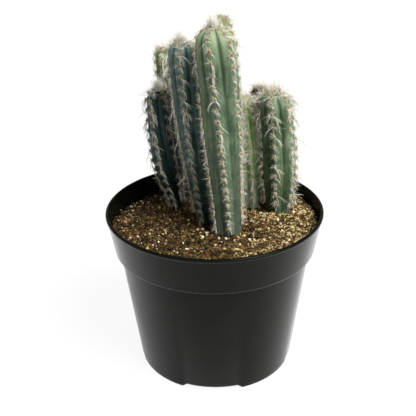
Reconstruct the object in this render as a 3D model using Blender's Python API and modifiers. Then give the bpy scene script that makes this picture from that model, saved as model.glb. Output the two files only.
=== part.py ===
"""Potted blue torch cactus: eight ribbed stems in a black plastic nursery pot full of peat mix.

Metres, +Z up. The origin is the middle of the pot's foot, on the surface that it stands on.
"""

import math
import random
from collections import namedtuple

import bmesh
import bpy
from mathutils import Vector, noise

MM = 0.001
UP = Vector((0, 0, 1))
SEAT_GAP = 0.3 * MM
WALL_GAP = 0.4 * MM
MERGE = 0.01 * MM
CREASE = math.radians(35)
GOLDEN_ANGLE = math.radians(137.5)

# Pot, moulded in one piece
POT_HEIGHT = 127.0 * MM
LIP_RADIUS = 82.5 * MM
WALL = 1.5 * MM
LIP_HEIGHT = 3.0 * MM
LIP_PROUD = 0.8 * MM
COLLAR_HEIGHT = 30.7 * MM
COLLAR_FOOT_RADIUS = 76.9 * MM
BODY_TOP_RADIUS = 73.0 * MM
BODY_FOOT_RADIUS = 60.6 * MM
FOOT_HEIGHT = 3.4 * MM
FOOT_WIDTH = 8.0 * MM
FOOT_SLOPE = 1.2 * MM
SLOPE_SHIFT = 0.8 * MM
FLOOR = FOOT_HEIGHT + WALL
CORNER = 0.8 * MM
LIP_BAND = 2.2 * MM
LIP_INNER_EASE = 0.4 * MM
INNER_STEP_REACH = 2.4 * MM
POT_STEPS = 48
POT_TURN = -math.pi / POT_STEPS

# Its small roundings, each as (in or out, up or down)
LIP_EASE = (1.1 * MM, 0.8 * MM)
COLLAR_EASE = (0.9 * MM, 1.2 * MM)
STEP_HOLLOW = (0.6 * MM, 0.7 * MM)
INNER_STEP = (1.0 * MM, 0.8 * MM)
STEP_REACH = 2.0 * MM

# Its openings: arches in the foot, and drain holes
ARCHES = 4
ARCH_HALF_ANGLE = math.radians(18)
ARCH_CORNER = 0.75
DRAIN_RADIUS = 4.0 * MM
DRAIN_SIDES = 12
DRAIN_DEPTH = 20 * MM
DRAIN_RINGS = ((53.6 * MM, 0.0), (30.0 * MM, math.radians(45)))

# Soil. A place is (x, y, rise, reach) in millimetres, low where its rise is negative.
SOIL_LEVEL = 117.0 * MM
SOIL_RINGS = 6
SOIL_RISE_RIGHT = 1.5 / 75
SOIL_FALL_BACK = 3.5 / 75
SOIL_PLACES = (
    (-50, 52, -3.0, 28),
    (34, -2, 3.0, 14),
    (70, 34, 2.0, 12),
    (12, -17, -2.5, 15),
    (-7, 4, -1.5, 12),
)
CLOD_SIZE = 13.0 * MM
CLOD_HEIGHT = 1.6 * MM
HOLE_SIDES = 14
HOLE_TOP = 14 * MM
FLAT_GAP = 0.3 * MM

# Stems
POINTS_A_RIB = 4
ROOT_DEPTH = 22.0 * MM
COLLAR_DEPTH = 2.5 * MM
RIBS_START = 0.4 * MM
ROOT_TAPER = 0.86
DOME = 0.8
DOME_RINGS = (0.42, 0.74, 0.93)
CROWN_RADIUS = 2.6 * MM
SHOULDER_AT = 0.29
SHOULDER_RADIUS = 0.885
GROOVE_RADIUS = 0.745
AREOLE_PITCH = 12.5 * MM
CREST_PARTS = 2
FIRST_AREOLE = 7.0 * MM
AREOLE_SWELL = 0.6 * MM
NOTCH = 0.8 * MM

# Spines
SPINE_RADIUS = 0.4 * MM
SPINE_SIDES = 3
SPINE_ROOT = 1.2 * MM
SPINE_LENGTHS = (4.2 * MM, 5.6 * MM, 7.4 * MM, 4.8 * MM)
SPINE_LEAN = 0.95
SPINE_OFFSET = 1.7 * MM
SPINE_CLEAR = 0.9 * MM
BARE_AREOLE = 4
SHORTER = 0.75
NEW_SPINES = 8
NEW_SPINE_LENGTHS = (6.0 * MM, 10.0 * MM)
NEW_SPINE_LEANS = (0.2, 0.8)

# Wool at the tips
TUFT_RADIUS = 4.2 * MM
TUFT_HEIGHT = 8.0 * MM
TUFT_OUTLINE = ((0, 1), (0.5, 0.92), (0.88, 0.66), (1, 0.34), (0.72, 0), (0, 0))
TUFT_STEPS = 8
TUFT_HAIRS = 16
TUFT_HAIR_LENGTH = 5.0 * MM
TUFT_HAIR_RADIUS = 0.7 * MM
TUFT_HAIR_RISES = (0.22, 0.97)
TUFT_HAIRS_FROM = 0.36
TUFT_HAIR_SINK = 0.85
TUFT_REACH = TUFT_RADIUS + TUFT_HAIR_LENGTH

# One stem. foot is where its axis meets the soil level and tip is its top, in millimetres. bow is how far
# its middle stands off the straight line, towards +X. radii are over the rib crests at the foot, at its
# stoutest and under the dome. swell is the share of its height where it is stoutest. turn is the angle
# of one rib at the tip, from the front towards +X, and twist is how much further round it is at the soil
# level, both in degrees.
Stem = namedtuple("Stem", "name foot tip bow radii swell ribs turn twist skin tuft")
STEMS = (
    Stem("stem_front_tall", (9.8, -17.1), (1.0, -17.1, 266.0), 1.0, (11.0, 14.4, 13.8), 0.6, 6, -21, 27,
         "6F8F76", "tuft_front_tall"),
    Stem("stem_left_tall", (-5.3, 3.6), (-21.2, 3.6, 252.2), -1.3, (8.6, 11.0, 11.0), 0.7, 6, -13, -14,
         "41625F", "tuft_left_tall"),
    Stem("stem_far_left", (-29.5, 29.7), (-40.1, 29.7, 210.1), -2.7, (5.8, 11.3, 9.8), 0.4, 6, -40, 28,
         "3A5B5B", "tuft_far_left"),
    Stem("stem_back_left", (-23.0, 50.5), (-36.9, 50.5, 236.0), -1.5, (7.6, 8.8, 6.9), 0.5, 6, -10, 0,
         "7D9A6E", None),
    Stem("stem_slim_right", (30.0, 26.5), (23.4, 26.5, 205.0), 1.4, (7.4, 7.8, 5.4), 0.35, 6, -16, 22,
         "6A9150", None),
    Stem("stem_right", (50.6, 17.3), (44.6, 17.3, 210.5), 2.4, (10.4, 13.2, 12.0), 0.35, 6, -18, -3,
         "5F8262", None),
    Stem("stem_back_right", (38.5, 48.5), (36.8, 48.0, 204.8), 0.0, (7.4, 8.4, 7.6), 0.5, 6, -20, 0,
         "4F6B55", None),
    Stem("stem_back_tall", (7.0, 30.0), (5.9, 29.0, 263.5), 0.0, (7.2, 8.4, 7.6), 0.5, 7, -5, 0,
         "78966A", None),
)


def clear_scene():
    for obj in list(bpy.data.objects):
        bpy.data.objects.remove(obj)


def collection(name, hidden=False):
    made = bpy.data.collections.new(name)
    made.hide_render = hidden
    bpy.context.scene.collection.children.link(made)
    return made


def linear(value):
    return value / 12.92 if value <= 0.04045 else ((value + 0.055) / 1.055) ** 2.4


def principled(name, colour, roughness):
    """A material from an sRGB hex colour. Nothing on the plant or its pot is metal."""
    material = bpy.data.materials.new(name)
    material.use_nodes = True
    shader = material.node_tree.nodes["Principled BSDF"]
    rgb = [linear(int(colour[i:i + 2], 16) / 255) for i in (0, 2, 4)]
    shader.inputs["Base Color"].default_value = (*rgb, 1.0)
    shader.inputs["Roughness"].default_value = roughness
    shader.inputs["Metallic"].default_value = 0.0
    material.diffuse_color = (*rgb, 1.0)
    return material


def object_of(name, mesh, home, material=None):
    obj = bpy.data.objects.new(name, mesh)
    home.objects.link(obj)
    if material:
        mesh.materials.append(material)
    return obj


def mesh_of(bm, name):
    mesh = bpy.data.meshes.new(name)
    bm.to_mesh(mesh)
    bm.free()
    return mesh


def applied(obj):
    """Puts the mesh that the object's modifiers make in place of its own."""
    bpy.context.view_layer.update()
    graph = bpy.context.evaluated_depsgraph_get()
    raw = obj.data
    made = bpy.data.meshes.new_from_object(obj.evaluated_get(graph))
    obj.modifiers.clear()
    obj.data = made
    bpy.data.meshes.remove(raw)


def turned(name, profile, steps, home, material):
    """A solid turned round the Z axis from a profile of (radius, height) that starts and ends on it."""
    mesh = bpy.data.meshes.new(name)
    edges = [(i, i + 1) for i in range(len(profile) - 1)]
    mesh.from_pydata([(radius, 0, height) for radius, height in profile], edges, [])
    obj = object_of(name, mesh, home, material)
    screw = obj.modifiers.new("turn", "SCREW")
    screw.steps = steps
    screw.render_steps = steps
    screw.use_merge_vertices = True
    screw.merge_threshold = MERGE
    applied(obj)
    return obj


def boolean(obj, operation, operands):
    modifier = obj.modifiers.new(operation.lower(), "BOOLEAN")
    modifier.operation = operation
    modifier.operand_type = "COLLECTION"
    modifier.collection = operands
    modifier.solver = "EXACT"


def fuse(obj, shoots):
    """Joins everything in the collection to the object as one body, then removes the collection."""
    boolean(obj, "UNION", shoots)
    applied(obj)
    for shoot in list(shoots.objects):
        bpy.data.objects.remove(shoot)
    bpy.data.collections.remove(shoots)


def cutter_of(bm, name, home):
    cutter = object_of(name, mesh_of(bm, name), home)
    cutter.hide_render = True
    cutter.display_type = "WIRE"
    return cutter


def shade(obj):
    obj.data.shade_smooth()
    obj.data.set_sharp_from_angle(angle=CREASE)


def smooth(share):
    share = min(1.0, max(0.0, share))
    return share * share * (3 - 2 * share)


def outer_profile():
    """The pot's outside, from the top of the lip down to the middle of the base."""
    step = POT_HEIGHT - COLLAR_HEIGHT
    foot = BODY_FOOT_RADIUS - CORNER
    return [
        (LIP_RADIUS - LIP_EASE[0], POT_HEIGHT),
        (LIP_RADIUS, POT_HEIGHT - LIP_EASE[1]),
        (LIP_RADIUS, POT_HEIGHT - LIP_BAND),
        (LIP_RADIUS - LIP_PROUD, POT_HEIGHT - LIP_HEIGHT),
        (COLLAR_FOOT_RADIUS, step + COLLAR_EASE[1]),
        (COLLAR_FOOT_RADIUS - COLLAR_EASE[0], step),
        (BODY_TOP_RADIUS + STEP_HOLLOW[0], step - STEP_HOLLOW[1]),
        (BODY_TOP_RADIUS, step - STEP_REACH),
        (BODY_FOOT_RADIUS, CORNER),
        (foot, 0),
        (foot - FOOT_WIDTH, 0),
        (foot - FOOT_WIDTH - FOOT_SLOPE, FOOT_HEIGHT),
        (0, FOOT_HEIGHT),
    ]


def inner_profile():
    """The pot's inside, from the middle of the floor up to the lip, a wall's thickness in."""
    step = POT_HEIGHT - COLLAR_HEIGHT
    foot = BODY_FOOT_RADIUS - CORNER
    lip = LIP_RADIUS - LIP_PROUD - WALL
    return [
        (0, FLOOR),
        (foot - FOOT_WIDTH - FOOT_SLOPE + SLOPE_SHIFT, FLOOR),
        (foot - FOOT_WIDTH + SLOPE_SHIFT, WALL),
        (foot - CORNER, WALL),
        (BODY_FOOT_RADIUS - WALL, CORNER + WALL),
        (BODY_TOP_RADIUS - WALL, step - INNER_STEP_REACH),
        (COLLAR_FOOT_RADIUS - WALL - INNER_STEP[0], step + INNER_STEP[1]),
        (COLLAR_FOOT_RADIUS - WALL, step + INNER_STEP_REACH),
        (lip, POT_HEIGHT - LIP_HEIGHT),
        (lip, POT_HEIGHT - LIP_INNER_EASE),
        (lip + LIP_INNER_EASE, POT_HEIGHT),
    ]


def inside_radius(height):
    """The pot's inner radius at a height above its floor."""
    wall = inner_profile()[4:-1]
    for (low_radius, low), (high_radius, high) in zip(wall, wall[1:]):
        if height <= high:
            share = max(0.0, (height - low) / (high - low))
            return low_radius + share * (high_radius - low_radius)
    return wall[-1][0]


def raise_arches(mesh):
    """Lifts the foot between its feet, one arch facing each side, so that water can run out."""
    pitch = math.tau / ARCHES
    for vertex in mesh.vertices:
        radius = math.hypot(vertex.co.x, vertex.co.y)
        if radius < BODY_FOOT_RADIUS - CORNER - FOOT_WIDTH - MERGE:
            continue
        inside = vertex.co.z > WALL - MERGE and radius < BODY_FOOT_RADIUS - MERGE
        level = WALL if inside else 0.0
        off = abs((math.atan2(vertex.co.y, vertex.co.x) + pitch / 2) % pitch - pitch / 2)
        if off < ARCH_HALF_ANGLE and vertex.co.z < level + FOOT_HEIGHT - MERGE:
            vertex.co.z += FOOT_HEIGHT - ARCH_CORNER * (vertex.co.z - level)


def drain_cutters(home):
    for ring_radius, start in DRAIN_RINGS:
        for i in range(ARCHES):
            angle = POT_TURN + start + i * math.tau / ARCHES
            bm = bmesh.new()
            bmesh.ops.create_cone(bm, cap_ends=True, segments=DRAIN_SIDES, radius1=DRAIN_RADIUS,
                                  radius2=DRAIN_RADIUS, depth=DRAIN_DEPTH)
            cutter = cutter_of(bm, "drain", home)
            cutter.location = (ring_radius * math.cos(angle), ring_radius * math.sin(angle), 0)


def make_pot(home, cutters):
    plastic = principled("black_nursery_plastic", "2B2D2B", 0.38)
    pot = turned("pot", inner_profile() + outer_profile(), POT_STEPS, home, plastic)
    raise_arches(pot.data)
    pot.rotation_euler.z = POT_TURN
    drain_cutters(cutters)
    boolean(pot, "DIFFERENCE", cutters)
    shade(pot)


def soil_height(x, y):
    """The soil's surface: a gentle slope, its low and high places, and clods."""
    height = SOIL_LEVEL + SOIL_RISE_RIGHT * x - SOIL_FALL_BACK * y
    for place_x, place_y, rise, reach in SOIL_PLACES:
        away = math.hypot(x - place_x * MM, y - place_y * MM) / (reach * MM)
        height += rise * MM * math.exp(-away * away)
    return height + CLOD_HEIGHT * noise.noise(Vector((x, y, 0)) / CLOD_SIZE)


def soil_profile():
    """From the middle of the surface out to the pot's wall, down it, and in along the floor."""
    edge = inside_radius(SOIL_LEVEL) - WALL_GAP
    top = [(edge * i / SOIL_RINGS, SOIL_LEVEL) for i in range(SOIL_RINGS + 1)]
    walls = [(radius, height) for radius, height in inner_profile() if FLOOR < height < SOIL_LEVEL]
    side = [(radius - WALL_GAP, height) for radius, height in reversed(walls)]
    bed = FLOOR + SEAT_GAP
    return top + side + [(BODY_FOOT_RADIUS - WALL - WALL_GAP, bed), (0, bed)]


def make_soil(home, cutters):
    peat = principled("peat_potting_mix", "5A4630", 0.95)
    soil = turned("soil", soil_profile(), POT_STEPS, home, peat)
    edge = inside_radius(SOIL_LEVEL) - 2 * WALL_GAP
    for vertex in soil.data.vertices:
        if vertex.co.z < SOIL_LEVEL - MERGE:
            continue
        radius = math.hypot(vertex.co.x, vertex.co.y)
        vertex.co.z = soil_height(vertex.co.x, vertex.co.y)
        if radius > edge:
            scale = (inside_radius(vertex.co.z) - WALL_GAP) / radius
            vertex.co.x *= scale
            vertex.co.y *= scale
    for stem in STEMS:
        stem_hole(stem, cutters)
    boolean(soil, "DIFFERENCE", cutters)
    shade(soil)


def share_of(stem, height):
    """How far up the stem a height is: 0 at the soil level, 1 at its tip."""
    return (height - SOIL_LEVEL) / (stem.tip[2] * MM - SOIL_LEVEL)


def axis_at(stem, height):
    """The stem's middle at a height. Below the soil level it runs on straight."""
    share = share_of(stem, height)
    bend = 4 * share * (1 - share) if share > 0 else 4 * share
    x = stem.foot[0] + share * (stem.tip[0] - stem.foot[0]) + bend * stem.bow
    y = stem.foot[1] + share * (stem.tip[1] - stem.foot[1])
    return Vector((x * MM, y * MM, height))


def dome_base(stem):
    return (stem.tip[2] - DOME * stem.radii[2]) * MM


def radius_at(stem, height):
    """The radius over the rib crests at a height."""
    foot, stoutest, shoulder = (radius * MM for radius in stem.radii)
    share = share_of(stem, height)
    if share < stem.swell:
        radius = foot + (stoutest - foot) * smooth(share / stem.swell)
    else:
        radius = stoutest + (shoulder - stoutest) * smooth((share - stem.swell) / (1 - stem.swell))
    rise = min(1.0, (height - dome_base(stem)) / (DOME * shoulder))
    if rise > 0:
        radius = CROWN_RADIUS + (radius - CROWN_RADIUS) * math.sqrt(1 - rise * rise)
    return radius


def ground_at(stem):
    return soil_height(stem.foot[0] * MM, stem.foot[1] * MM)


def root_ends(stem):
    """The plain round part in the soil: (height, radius) at its lower and its upper end."""
    foot = stem.radii[0] * MM
    return (SOIL_LEVEL - ROOT_DEPTH, foot * ROOT_TAPER), (ground_at(stem) - COLLAR_DEPTH, foot)


def loft(bm, rings):
    """Joins rings of points, lowest first, and closes both ends."""
    for lower, upper in zip(rings, rings[1:]):
        for k in range(len(lower)):
            after = (k + 1) % len(lower)
            bm.faces.new((lower[k], lower[after], upper[after], upper[k]))
    bm.faces.new(reversed(rings[0]))
    bm.faces.new(rings[-1])


def stem_hole(stem, home):
    """Cuts the plain hole that a stem stands in, a gap wider and deeper than its root."""
    (low, low_radius), (high, high_radius) = root_ends(stem)
    bm = bmesh.new()
    rings = []
    for height, radius in ((low - SEAT_GAP, low_radius), (high, high_radius), (high + HOLE_TOP, high_radius)):
        ring = bmesh.ops.create_circle(bm, segments=HOLE_SIDES, radius=radius + SEAT_GAP + FLAT_GAP)["verts"]
        bmesh.ops.translate(bm, verts=ring, vec=axis_at(stem, height))
        rings.append(ring)
    loft(bm, rings)
    bmesh.ops.recalc_face_normals(bm, faces=bm.faces)
    cutter_of(bm, "hole", home)


def row_heights(stem):
    """The heights of the shaft's rings, CREST_PARTS half pitches apart."""
    low = ground_at(stem) + FIRST_AREOLE
    high = dome_base(stem)
    rows = round((high - low) / (AREOLE_PITCH * CREST_PARTS / 2))
    return [low + (high - low) * i / rows for i in range(rows + 1)]


def facing(stem, step, height):
    """The outward direction of one of a ring's points. Steps run from the front round by +X."""
    offset = (0.0, SHOULDER_AT, 0.5, 1 - SHOULDER_AT)[step % POINTS_A_RIB]
    first = stem.turn + stem.twist * min(1.0, 1 - share_of(stem, height))
    angle = math.radians(first) + math.tau * (step // POINTS_A_RIB + offset) / stem.ribs
    return Vector((math.sin(angle), -math.cos(angle), 0))


def ring_at(bm, stem, height, radius, ribbed=True):
    middle = axis_at(stem, height)
    shape = (1.0, SHOULDER_RADIUS, GROOVE_RADIUS, SHOULDER_RADIUS) if ribbed else (1.0,) * POINTS_A_RIB
    return [
        bm.verts.new(middle + facing(stem, k, height) * radius * shape[k % POINTS_A_RIB])
        for k in range(POINTS_A_RIB * stem.ribs)
    ]


def stem_body(stem):
    """The ribbed stem as a bmesh, and its areoles as pairs of crest point and outward direction."""
    bm = bmesh.new()
    root = [ring_at(bm, stem, height, radius, ribbed=False) for height, radius in root_ends(stem)]
    heights = [ground_at(stem) - RIBS_START]
    heights += row_heights(stem)
    rise_height = stem.tip[2] * MM - dome_base(stem)
    heights += [dome_base(stem) + rise_height * rise for rise in (*DOME_RINGS, 1.0)]
    ribbed = [ring_at(bm, stem, height, radius_at(stem, height)) for height in heights]
    loft(bm, root + ribbed)
    dome = ribbed[-1 - len(DOME_RINGS):-1]
    shaft = ribbed[1:-1 - len(DOME_RINGS)]
    areoles = []
    for rib in range(stem.ribs):
        areoles += shaft_areoles(bm, [row[rib * POINTS_A_RIB] for row in shaft], rib, stem)
        for i, (row, rise) in enumerate(zip(dome, DOME_RINGS)):
            if (i + rib) % 2:
                point = row[rib * POINTS_A_RIB]
                out = facing(stem, rib * POINTS_A_RIB, point.co.z)
                normal = out * math.sqrt(1 - rise * rise) + UP * rise / DOME
                areoles.append((point, normal.normalized()))
    bmesh.ops.triangulate(bm, faces=bm.faces)
    return bm, areoles


def shaft_areoles(bm, crest, rib, stem):
    """Swells a rib's crest at each areole and notches it between them, half a pitch on from the next rib."""
    points = [crest[0]]
    for upper in crest[1:]:
        for parts_left in range(CREST_PARTS, 1, -1):
            edge = bm.edges.get((points[-1], upper))
            points.append(bmesh.utils.edge_split(edge, points[-1], 1 / parts_left)[1])
        points.append(upper)
    areoles = []
    for i, point in enumerate(points):
        out = facing(stem, rib * POINTS_A_RIB, point.co.z)
        if (i + rib) % 2:
            point.co -= out * NOTCH
        else:
            point.co += out * AREOLE_SWELL
            areoles.append((point, out))
    return areoles


def is_clear(stem, point):
    """Whether a spine's point is nearer its own stem than any other, and off the soil, pot and wool."""
    def off(other):
        height = min(point.z, other.tip[2] * MM)
        across = (point - axis_at(other, height)).xy.length - radius_at(other, height)
        return max(across, point.z - other.tip[2] * MM)

    if point.z < soil_height(point.x, point.y) + SPINE_CLEAR:
        return False
    if point.z < POT_HEIGHT and point.xy.length > inside_radius(point.z) - SPINE_CLEAR:
        return False
    crown = axis_at(stem, stem.tip[2] * MM)
    if stem.tuft and point.z > crown.z + SPINE_CLEAR and (point - crown).xy.length < TUFT_REACH:
        return False
    return all(off(other) > off(stem) + SPINE_CLEAR for other in STEMS if other is not stem)


def spine(place, direction, length, radius, home):
    """A three-sided needle with its root sunk into what it grows from."""
    bm = bmesh.new()
    bmesh.ops.create_cone(bm, cap_ends=True, segments=SPINE_SIDES, radius1=radius, radius2=0,
                          depth=length + SPINE_ROOT)
    bmesh.ops.remove_doubles(bm, verts=bm.verts, dist=MERGE)
    needle = object_of("spine", mesh_of(bm, "spine"), home)
    needle.rotation_mode = "QUATERNION"
    needle.rotation_quaternion = direction.to_track_quat("Z", "Y")
    needle.location = place + direction * (length - SPINE_ROOT) / 2


def beside(areole, lean):
    """Where a spine leaves its areole: in the face beside it that lies furthest the way the spine leans."""
    middles = [face.calc_center_median() for face in areole.link_faces]
    nearest = max(middles, key=lambda middle: (middle - areole.co).normalized().dot(lean))
    return areole.co + (nearest - areole.co).normalized() * SPINE_OFFSET


def grow_spines(stem, areoles, home):
    """One spine from most areoles, each turned a golden angle on from the last."""
    for i, (areole, out) in enumerate(areoles):
        if i % BARE_AREOLE == 0:
            continue
        side = UP.cross(out).normalized()
        lean = side * math.cos(i * GOLDEN_ANGLE) + out.cross(side) * math.sin(i * GOLDEN_ANGLE)
        direction = (out + lean * SPINE_LEAN).normalized()
        place = beside(areole, lean)
        length = SPINE_LENGTHS[i % len(SPINE_LENGTHS)]
        while length > SPINE_ROOT and not is_clear(stem, place + direction * length):
            length *= SHORTER
        if length > SPINE_ROOT:
            spine(place, direction, length, SPINE_RADIUS, home)


def grow_new_spines(stem, rng, home):
    """The upright young spines in the middle of a crown."""
    crown = axis_at(stem, stem.tip[2] * MM)
    for i in range(NEW_SPINES):
        angle = i * GOLDEN_ANGLE
        out = Vector((math.cos(angle), math.sin(angle), 0))
        direction = (UP + out * rng.uniform(*NEW_SPINE_LEANS)).normalized()
        place = crown + out * CROWN_RADIUS * math.sqrt(i / NEW_SPINES)
        spine(place, direction, rng.uniform(*NEW_SPINE_LENGTHS), SPINE_RADIUS, home)


def make_stem(stem, rng, home):
    skin = principled(stem.name + "_skin", stem.skin, 0.55)
    shoots = collection("shoots")
    bm, areoles = stem_body(stem)
    grow_spines(stem, areoles, shoots)
    obj = object_of(stem.name, mesh_of(bm, stem.name), home, skin)
    if not stem.tuft:
        grow_new_spines(stem, rng, shoots)
    fuse(obj, shoots)
    shade(obj)


def tuft_profile():
    return [(radius * TUFT_RADIUS, height * TUFT_HEIGHT) for radius, height in TUFT_OUTLINE]


def make_tuft(stem, wool, home):
    """A ball of white wool on the stem's crown, with locks of hair standing out of it."""
    tuft = turned(stem.tuft, tuft_profile(), TUFT_STEPS, home, wool)
    tuft.location = axis_at(stem, stem.tip[2] * MM) + UP * SEAT_GAP
    middle = tuft.location + UP * TUFT_HAIRS_FROM * TUFT_HEIGHT
    low, high = TUFT_HAIR_RISES
    hairs = collection("hairs")
    for i in range(TUFT_HAIRS):
        rise = low + (high - low) * i / (TUFT_HAIRS - 1)
        flat = math.sqrt(1 - rise * rise)
        angle = i * GOLDEN_ANGLE
        direction = Vector((flat * math.cos(angle), flat * math.sin(angle), rise))
        place = middle + direction * TUFT_RADIUS * TUFT_HAIR_SINK
        spine(place, direction, TUFT_HAIR_LENGTH, TUFT_HAIR_RADIUS, hairs)
    fuse(tuft, hairs)
    shade(tuft)


def build():
    clear_scene()
    home = collection("potted_blue_torch_cactus")
    make_pot(home, collection("drain_cutters", hidden=True))
    make_soil(home, collection("hole_cutters", hidden=True))
    rng = random.Random(7)
    wool = principled("white_wool", "E6E0D6", 0.9)
    for stem in STEMS:
        make_stem(stem, rng, home)
        if stem.tuft:
            make_tuft(stem, wool, home)


build()
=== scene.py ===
"""The look of the potted blue torch cactus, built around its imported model.

Every place is in metres in the model's frame: the origin is the middle of the pot's foot, +Z is up, and the
photograph looks along +Y and down. A size that is written as a plain number of millimetres is times MM.
"""

import random
from collections import namedtuple
from math import atan2, cos, exp, hypot, pi, radians, sin, sqrt, tau

import bmesh
import bpy
import numpy as np
from mathutils import Matrix, Vector, noise


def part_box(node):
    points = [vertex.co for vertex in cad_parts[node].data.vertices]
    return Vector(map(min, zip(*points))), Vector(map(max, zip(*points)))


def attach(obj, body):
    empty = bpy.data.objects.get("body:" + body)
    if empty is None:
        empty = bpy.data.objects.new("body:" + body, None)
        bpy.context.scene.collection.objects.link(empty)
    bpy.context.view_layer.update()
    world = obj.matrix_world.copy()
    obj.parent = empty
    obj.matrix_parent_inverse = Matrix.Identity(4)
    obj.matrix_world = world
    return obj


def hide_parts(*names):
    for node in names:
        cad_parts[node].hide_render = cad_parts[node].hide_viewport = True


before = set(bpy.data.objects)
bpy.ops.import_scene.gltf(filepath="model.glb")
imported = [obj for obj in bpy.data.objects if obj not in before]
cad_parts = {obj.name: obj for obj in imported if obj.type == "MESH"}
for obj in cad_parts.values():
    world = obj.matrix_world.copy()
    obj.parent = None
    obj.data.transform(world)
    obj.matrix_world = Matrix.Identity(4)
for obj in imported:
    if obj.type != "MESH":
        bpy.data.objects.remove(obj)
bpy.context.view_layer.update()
MM = 0.001
UP = Vector((0, 0, 1))


# Camera. It stands where the photograph was taken from: in front of the pot, a little above the tips of
# the stems, and looking down at the soil.
EYE = Vector((-4.87, -520.15, 377.94)) * MM
LOOKS_DOWN = radians(25.87)
ROLL = radians(-0.93)
FOCAL_LENGTH = 65.68
FILM_WIDTH = 36


def object_of(name, data):
    """A new object in the scene."""
    made = bpy.data.objects.new(name, data)
    bpy.context.scene.collection.objects.link(made)
    return made


lens = bpy.data.cameras.new("camera")
lens.lens = FOCAL_LENGTH
lens.sensor_width = FILM_WIDTH
camera = object_of("camera", lens)
tilt = Matrix.Rotation(pi / 2 - LOOKS_DOWN, 4, "X")
camera.matrix_world = Matrix.Translation(EYE) @ tilt @ Matrix.Rotation(ROLL, 4, "Z")
bpy.context.scene.camera = camera


# Pot. A 6 inch nursery pot, moulded in one piece from recycled black polypropylene. Its lip is a thin bead,
# a plain collar stiffens its top, and four low arches in its foot let water out. It stands loose.
POT_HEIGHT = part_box("pot")[1].z
STEP_HEIGHT = POT_HEIGHT - 30.7 * MM
POT_OUTSIDE = (
    (81.4 * MM, POT_HEIGHT),
    (82.5 * MM, POT_HEIGHT - 0.8 * MM),
    (82.5 * MM, POT_HEIGHT - 2.2 * MM),
    (81.7 * MM, POT_HEIGHT - 3.0 * MM),
    (76.9 * MM, STEP_HEIGHT + 1.2 * MM),
    (76.0 * MM, STEP_HEIGHT),
    (73.6 * MM, STEP_HEIGHT - 0.7 * MM),
    (73.0 * MM, STEP_HEIGHT - 2.0 * MM),
    (61.2 * MM, 5.0 * MM),
    (60.6 * MM, 0.8 * MM),
    (59.8 * MM, 0.0),
    (51.8 * MM, 0.0),
    (50.6 * MM, 3.4 * MM),
    (0.0, 3.4 * MM),
)
POT_INSIDE = (
    (0.0, 4.9 * MM),
    (51.4 * MM, 4.9 * MM),
    (52.6 * MM, 1.5 * MM),
    (59.0 * MM, 1.5 * MM),
    (59.1 * MM, 2.3 * MM),
    (59.9 * MM, 8.0 * MM),
    (71.5 * MM, STEP_HEIGHT - 2.4 * MM),
    (74.4 * MM, STEP_HEIGHT + 0.8 * MM),
    (75.4 * MM, STEP_HEIGHT + 2.4 * MM),
    (80.2 * MM, POT_HEIGHT - 3.0 * MM),
    (80.2 * MM, POT_HEIGHT - 0.4 * MM),
    (80.6 * MM, POT_HEIGHT),
)
INNER_WALL = POT_INSIDE[4:-1]
POT_STEPS = 192
POT_TURN = radians(-3.75)
POT_WALL = 1.5 * MM
EDGE_ROUNDING = 0.32 * MM
SHARP = radians(14)
FLAT_SHADED = radians(40)
MERGE = 0.01 * MM
ARCHES = 4
ARCH_HEIGHT = 3.4 * MM
ARCH_SQUASH = 0.75
ARCH_ENDS = (radians(18.5), radians(22.5))
ARCH_REACH = (51.7 * MM, 62.0 * MM)
FOOT_INSIDE_RADIUS = 59.3 * MM
FOOT_INSIDE_HEIGHT = 0.9 * POT_WALL
DRAIN_RADIUS = 4.0 * MM
DRAIN_SIDES = 24
DRAIN_DEPTH = 20 * MM
DRAINS = ((53.6 * MM, 0.0), (30.0 * MM, radians(45)))


def colour(code):
    """An sRGB hex code as linear red, green, blue and alpha."""
    channels = [int(code[i:i + 2], 16) / 255 for i in (0, 2, 4)]
    return (*[c / 12.92 if c <= 0.04045 else ((c + 0.055) / 1.055) ** 2.4 for c in channels], 1.0)


def feed(tree, node, links):
    """Joins sources to a node's sockets. A source that is a node gives its first output."""
    for name, source in links.items():
        first = source.outputs[0] if isinstance(source, bpy.types.Node) else source
        tree.links.new(first, node.inputs[name])


def add(tree, kind, settings=(), links=(), stops=()):
    """Adds a shader node with its settings, the sources that feed it, and a colour ramp's stops."""
    made = tree.nodes.new("ShaderNode" + kind)
    for name, value in dict(settings).items():
        if isinstance(name, str) and hasattr(made, name):
            setattr(made, name, value)
        else:
            made.inputs[name].default_value = value
    feed(tree, made, dict(links))
    if stops:
        elements = made.color_ramp.elements
        while len(elements) > 1:
            elements.remove(elements[-1])
        for i, (position, code) in enumerate(stops):
            element = elements[0] if i == 0 else elements.new(position)
            element.position = position
            element.color = colour(code)
    return made


def material(name, settings):
    """A material with a Principled shader. Returns it, its node tree and the shader."""
    made = bpy.data.materials.new(name)
    made.use_nodes = True
    shader = made.node_tree.nodes["Principled BSDF"]
    for socket, value in settings.items():
        shader.inputs[socket].default_value = value
    return made, made.node_tree, shader


def place(name, mesh, finish, slot, *nodes):
    """Puts a finished mesh on the plant as a piece that stands for the given nodes."""
    mesh.name = name
    piece = object_of(name, mesh)
    mesh.materials.clear()
    mesh.materials.append(finish)
    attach(piece, "root")
    if nodes:
        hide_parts(*nodes)


def mesh_of(bm):
    mesh = bpy.data.meshes.new("mesh")
    bm.to_mesh(mesh)
    bm.free()
    return mesh


def smooth(share):
    """A share from 0 to 1, eased at both ends."""
    share = min(1.0, max(0.0, share))
    return share * share * (3 - 2 * share)


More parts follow.
